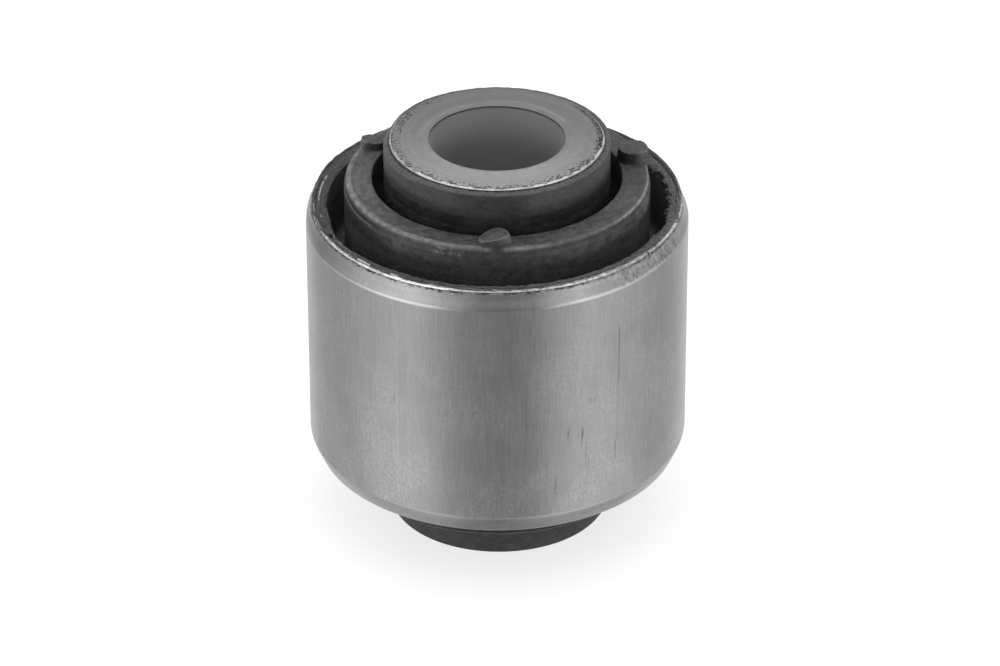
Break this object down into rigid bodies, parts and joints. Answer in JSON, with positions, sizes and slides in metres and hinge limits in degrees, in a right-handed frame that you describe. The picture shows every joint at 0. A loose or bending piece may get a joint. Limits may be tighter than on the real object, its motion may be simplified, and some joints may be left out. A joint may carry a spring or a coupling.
{
  "type": "rubber metal bush",
  "caption": "Bonded rubber and steel bush: chamfered outer sleeve, raised rubber ring with nubs between deep grooves, and a thick inner sleeve with a through bore.",
  "frame": {"origin": "middle of the bore, half way between the two end faces of the inner sleeve", "axes": "+Z along the bore, towards the end whose rubber ring carries the nubs; +Y away from the nub at the front"},
  "size_m": [0.04, 0.04, 0.0436],
  "materials": {
    "outer_steel": "drawn steel, fine marks along the sleeve, burnished and burred at the rim",
    "rubber": "matte moulded rubber with dusty scuffs on its edges",
    "inner_steel": "turned end faces with a burnished edge and rubber specks"
  },
  "bodies": {
    "root": {"outer_sleeve": "outer_steel", "rubber": "rubber", "inner_sleeve": "inner_steel"}
  },
  "joints": []
}
